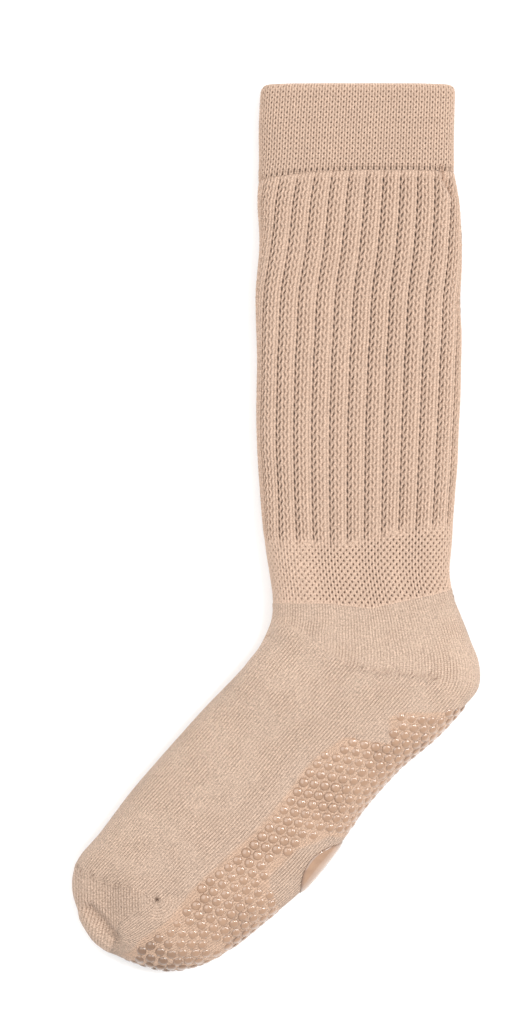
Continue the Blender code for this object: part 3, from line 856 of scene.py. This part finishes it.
ribbedKnit = knitMaterial("ribbedKnit", gapShade=0.60, grain=0.46)
cuffKnit = knitMaterial("cuffKnit", gapShade=0.24, grain=0.40)
bandKnit = knitMaterial("bandKnit", gapShade=0.32, grain=0.40)
plainKnit = knitMaterial("plainKnit", gapShade=0.82, grain=0.55, shaped=True)

legShare, bandShare = acrossShare(shaftLook["half"]), acrossShare(shaftLook["bandHalf"])
cuffLine = cuffLineAt(legShare)


def bandTopLine(share):  # the ribbed leg ends where the mesh has opened
    return -tableAt(bandTopEdge, share) - shaftLook["overlap"]


def shaftPieces():
    bandLine = bandTopLine(legShare)
    calfLine = (cuffLine + bandLine) / 2
    for name, top, bottom in (("ribbedLegUpper", cuffLine, calfLine), ("ribbedLegLower", calfLine, bandLine)):
        tubePiece(name, top, bottom, shaftLook["rows"], shaftLook["half"], shaftSkin, ribbedKnit)
    tubePiece("meshBand", bandTopLine(bandShare), -tableAt(bandLowEdge, bandShare), shaftLook["bandRows"],
              shaftLook["bandHalf"], shaftSkin, bandKnit)


def cuffPiece():
    # outside, inside and rounded lip; the top dips at the two folds
    half, over = shaftLook["half"], np.abs(legShare)
    corners = bump(over, 1, cuffLook["cornerWidth"]) + bump(over, 0, cuffLook["cornerWidth"])
    top = collarTravel + cuffLook["topDrop"] + cuffLook["cornerDrop"] * corners
    outside, look = outerSkin(travelRows(top, cuffLine, cuffLook["rows"]), half, cuffSkin)
    inside, inLook = innerSkin(travelRows(cuffLine, top, cuffLook["innerRows"]), half, sockForm["footWall"],
                               cuffSkin)
    lip = []
    for share in cuffLook["lipShares"]:
        ring = blendTo(share, inside[-1], outside[0])
        ring[:, 1] += cuffLook["lipRound"] * math.sin(math.pi * share)
        lip.append(ring)
    lipLooks = [oneRow(look, 0, plain=True) for _ in lip]
    points = np.concatenate([outside, inside, np.array(lip), outside[:1]])
    gridMesh("doubleCuff", points, stackLooks([look, inLook, *lipLooks, oneRow(look, 0)]), cuffKnit)


def footPiece():
    # the inside and the outside run down to a closed toe
    half = footLook["half"]
    top = -tableAt(bandLowEdge, acrossShare(half))
    bottom = np.full_like(top, toeTravel)
    inEnd = np.full_like(top, np.interp(lastRow - 0.9, tablePlaces, tableTravel))
    outside, look = outerSkin(travelRows(top, bottom, footLook["rows"]), half, footSkin)
    inside, inLook = innerSkin(travelRows(inEnd, top, footLook["innerRows"]), half, sockForm["footWall"],
                               footSkin)
    tip = np.array([*footPoint(toeTip[0] * sockForm["footLength"], toeTip[1] * sockForm["footHeight"]),
                    1.3 * sockForm["foldShare"] * keys[lastRow][4]])
    pole = (1, len(top), 3)
    points = np.concatenate([np.broadcast_to(inside[0].mean(axis=0), pole), inside, outside,
                             np.broadcast_to(tip, pole)])
    looks = [oneRow(inLook, 0), inLook, look, oneRow(look, len(outside) - 1)]
    gridMesh("plainFoot", points, stackLooks(looks), plainKnit)


shaftPieces()
cuffPiece()
footPiece()
print("knit done")

# The rubber dots. along: metres from the heel corner along the sole's edge; around: metres from
# that edge over the knit, minus below.
dotLook = {
    "pitch": 0.0057, "radius": 0.0025, "height": 0.0009, "sink": 0.0002,
    # closest spacing as a share of the pitch, in the rows and where they are filled up
    "room": 0.80, "fillRoom": 0.93, "rowEnd": 0.185,
    # rim and toe: painted shade round each dot's rim and on the dots at the toe's end, where the sole turns
    # away from the light
    "crown": (0.290, 0.155, 0.080), "crownWarm": (0.335, 0.185, 0.100), "rimShade": (0.170, 0.085, 0.045),
    "toe": (0.120, 0.048, 0.010), "toeShade": 0.80, "toeStart": 0.194, "toeFull": 0.216,
    "roughness": 0.45, "coatIOR": 1.8, "coatRoughness": 0.05, "grainDepth": 0.0001,
}
padLook = {"length": 0.034, "width": 0.035, "height": 0.0012, "along": 0.532, "cells": 28}
soleStretch = {"start": 0.010, "end": 0.2530, "side": 0.055, "step": 0.001}


def soleGrid():
    # points and normals of the knit beside the sole's edge, on even steps along and around
    side, step = soleStretch["side"], soleStretch["step"]
    alongs = np.arange(soleStretch["start"], soleStretch["end"], step)
    rows = np.interp(alongs, edgeLengths, edgePlaces)
    arounds = np.arange(-side, side + step / 10, step)
    dense = 0.5 * (np.arange(201) / 200) ** 1.5
    points = np.empty((len(alongs), len(arounds), 3))
    for sign, here in ((-1, arounds < 0), (1, arounds >= 0)):
        rings = ringPoints(rows[:, None], sign * dense[None])
        for row, (ring, reach) in enumerate(zip(rings, walkedAlong(rings))):
            for axis in range(3):
                points[row, here, axis] = np.interp(np.abs(arounds[here]), reach, ring[:, axis])
    normal = np.cross(np.gradient(points, axis=1), np.gradient(points, axis=0))
    normal /= np.maximum(np.linalg.norm(normal, axis=2, keepdims=True), 1e-12)
    if normal[len(alongs) // 2, -15, 2] < 0:
        normal = -normal
    return alongs, arounds, points, normal


soleAlongs, soleArounds, solePoints, soleNormals = soleGrid()


def onSole(along, around):
    # point, normal and heel-to-toe direction of the knit there
    u = np.clip((along - soleAlongs[0]) / soleStretch["step"], 0, len(soleAlongs) - 1.001)
    v = np.clip((around - soleArounds[0]) / soleStretch["step"], 0, len(soleArounds) - 1.001)
    i, j = int(u), int(v)
    s, t = u - i, v - j
    spots = []
    for table in (solePoints, soleNormals):
        low = table[i, j] * (1 - t) + table[i, j + 1] * t
        high = table[i + 1, j] * (1 - t) + table[i + 1, j + 1] * t
        spots.append(low * (1 - s) + high * s)
    normal = spots[1] / np.linalg.norm(spots[1])
    forward = solePoints[i + 1, j] - solePoints[i, j]
    forward -= normal * forward.dot(normal)
    forward /= np.linalg.norm(forward)
    return spots[0], normal, forward


def evenAlongs(around, offset):
    # places a pitch apart over the knit on the line at this reach, counted from the middle of the sole
    walked = walkedAlong(np.array([onSole(along, around)[0] for along in soleAlongs]))
    middle = np.interp(0.5 * sockForm["footLength"], soleAlongs, walked)
    pitch = dotLook["pitch"]
    steps = np.arange(math.ceil(-middle / pitch), (walked[-1] - middle) / pitch) + offset
    return np.interp(middle + steps * pitch, walked, soleAlongs)


def hasDot(along, around):
    reach, window = softReach(printEdge, along), softReach(windowEdge, along)
    return reach > 0 and abs(around) <= reach and (window == 0 or abs(around) > window)


def rubberMaterial(name):
    made, tree, shader = newMaterial(name, Roughness=dotLook["roughness"], Coat_Weight=1.0,
                                     Coat_IOR=dotLook["coatIOR"], Coat_Roughness=dotLook["coatRoughness"])
    mottle = setInputs(addGroup(tree, fuzz), Grain_Size=900, Drift_Size=180)
    colour = addMix(tree, mottle.outputs["Drift"], dotLook["crown"], dotLook["crownWarm"])
    # painted shade round the rim
    colour = addMix(tree, addMark(tree, "rimShade"), colour, dotLook["rimShade"])
    # painted shade on the dots towards the toe's end
    shade = addMath(tree, "MULTIPLY", addMark(tree, "toeEndShade"), dotLook["toeShade"])
    colour = addMix(tree, shade, colour, dotLook["toe"])
    linkSurface(tree, shader, colour, mottle.outputs["Grain"], 0.2, dotLook["grainDepth"])
    return made


gripRubber = rubberMaterial("gripRubber")


def rubberPiece(name, bm, node):
    bmesh.ops.recalc_face_normals(bm, faces=bm.faces)
    piece = addPiece(name, newMesh(name, bm), gripRubber, 75)
    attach(piece, "root")
    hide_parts(node)


def domeMesh():
    # one dot of a few dozen faces with a radius of one metre, with painted shade at its rim
    bm = bmesh.new()
    bmesh.ops.create_uvsphere(bm, u_segments=12, v_segments=6, radius=1)
    rimShade = bm.verts.layers.float.new("rimShade")
    for vert in bm.verts:
        vert[rimShade] = 1 - smoothStep(0.0, 0.5, vert.co.z)
        vert.co.z = max(vert.co.z, -0.1)
    dome = newMesh("dome", bm)
    dome.attributes.new("toeEndShade", "FLOAT", "POINT")
    return dome


def dotPlaces():
    # rows a pitch apart, and then single dots round the toe and wherever the rows leave room
    rise = dotLook["pitch"] * math.sqrt(0.75)
    lines = math.ceil(1.3 * sockForm["printReach"] / rise)
    rows = [(along, line * rise, dotLook["room"]) for line in range(-lines, lines + 1)
            for along in evenAlongs(line * rise, line % 2 / 2) if along < dotLook["rowEnd"]]
    free = [(along, around, dotLook["fillRoom"]) for around in np.arange(-lines, lines, 0.2) * rise
            for along in np.arange(soleStretch["start"], soleStretch["end"], 0.0012)]
    places, placed = [], np.empty((0, 3))
    for along, around, room in rows + free:
        if not hasDot(along, around):
            continue
        spot = onSole(along, around)[0]
        if len(placed) and np.linalg.norm(placed - spot, axis=1).min() < room * dotLook["pitch"]:
            continue
        places.append((along, around))
        placed = np.vstack([placed, spot])
    return places


def dotPiece():
    dome = domeMesh()
    shape = np.empty(3 * len(dome.vertices))
    dome.vertices.foreach_get("co", shape)
    shape = shape.reshape(-1, 3) * (dotLook["radius"], dotLook["radius"], dotLook["height"])
    bm = bmesh.new()
    places = dotPlaces()
    for along, around in places:
        spot, normal, forward = onSole(along, around)
        axes = np.array([forward, np.cross(normal, forward), normal])
        points = spot + shape @ axes - normal * dotLook["sink"]
        points[:, 2] = np.maximum(points[:, 2], 0)  # pressed flat on the floor
        dome.vertices.foreach_set("co", (points + planShift).ravel())
        # how much painted shade each dot gets towards the toe's end
        shade = np.full(len(points), smoothStep(dotLook["toeStart"], dotLook["toeFull"], along))
        dome.attributes["toeEndShade"].data.foreach_set("value", shade.astype(np.float32))
        bm.from_mesh(dome)
    bpy.data.meshes.remove(dome)
    rubberPiece("gripDots", bm, "grip_print")
    print(len(places), "dots")


def padPiece():
    # the plain pad in the print's window: a square grid drawn out to a round one, with a rounded edge
    bm = bmesh.new()
    radius = padLook["width"] / 2
    bmesh.ops.create_grid(bm, x_segments=padLook["cells"], y_segments=padLook["cells"], size=radius)
    for vert in bm.verts:
        x, y = vert.co.x / radius, vert.co.y / radius
        vert.co.x = radius * x * math.sqrt(1 - y * y / 2)
        vert.co.y = radius * y * math.sqrt(1 - x * x / 2)
    grown = bmesh.ops.extrude_face_region(bm, geom=bm.faces[:], use_keep_orig=True)["geom"]
    for vert in (item for item in grown if isinstance(item, bmesh.types.BMVert)):
        edge = min(math.hypot(vert.co.x, vert.co.y) / radius, 1)
        vert.co.z = padLook["height"] * (1 - 0.75 * edge ** 10)
    rimShade = bm.verts.layers.float.new("rimShade")
    for vert in bm.verts:
        edge = min(math.hypot(vert.co.x, vert.co.y) / radius, 1)
        # a line of painted shade round the pad's edge
        vert[rimShade] = 0.8 * smoothStep(0.93, 1.0, edge)
        vert.co.x *= padLook["length"] / padLook["width"]
        spot, normal, _ = onSole(vert.co.x + padLook["along"] * sockForm["footLength"], vert.co.y)
        place = spot + normal * (vert.co.z + 0.0001)
        place[2] = max(place[2], 0)
        vert.co = place + planShift
    rubberPiece("solePad", bm, "plain_pad")


dotPiece()
padPiece()
print("rubber print done")

# Floor, light and camera
stageLook = {
    "floorSize": 6.0, "floorDrop": 0.0001, "floorColour": (0.95, 0.95, 0.95), "roomLight": 0.98,
    "keyPower": 25, "keySize": 1.1, "keyPlace": (1.62, 0.35, 1.50),
    "overPower": 24, "overSize": 2.2, "overPlace": (-0.9, 0.3, 2.1),
    "sparkPower": 7, "sparkSize": 0.20, "sparkPlace": (0.75, 0.25, 2.10),
    "viewHeight": 0.516, "viewMiddle": (-0.0078, 0.0088), "lens": 120, "middleHeight": 0.012,
}


def makeFloor():
    bm = bmesh.new()
    bmesh.ops.create_grid(bm, x_segments=1, y_segments=1, size=stageLook["floorSize"] / 2)
    for vert in bm.verts:
        vert.co.z = -stageLook["floorDrop"]
    floor = addObject("floor", newMesh("floor", bm))
    made, _, _ = newMaterial("paleFloor", Base_Color=(*stageLook["floorColour"], 1), Roughness=0.9,
                             Specular_IOR_Level=0.0)
    floor.data.materials.append(made)


def areaLight(name, place, size, power):
    light = bpy.data.lights.new(name, "AREA")
    light.shape, light.size, light.energy = "SQUARE", size, power
    lamp = addObject(name, light)
    lamp.location = place
    lamp.rotation_mode = "QUATERNION"
    lamp.rotation_quaternion = lamp.location.to_track_quat("Z", "Y")  # aimed at the middle


def makeStage():
    bpy.context.scene.view_settings.view_transform = "Standard"
    makeFloor()
    for name in ("key", "over", "spark"):
        areaLight(name + "Light", *(stageLook[name + value] for value in ("Place", "Size", "Power")))
    world = bpy.data.worlds.new("softRoom")
    world.use_nodes = True
    setInputs(world.node_tree.nodes["Background"], Color=(1, 1, 1, 1), Strength=stageLook["roomLight"])
    bpy.context.scene.world = world
    camera = bpy.data.cameras.new("camera")
    camera.lens = stageLook["lens"]
    camera.sensor_width = 36
    camera.clip_end = 50
    eye = addObject("camera", camera)
    distance = stageLook["viewHeight"] / 2 / (camera.sensor_width / 2 / camera.lens)
    eye.location = (*stageLook["viewMiddle"], distance + stageLook["middleHeight"])
    bpy.context.scene.camera = eye


makeStage()
print("stage ready")
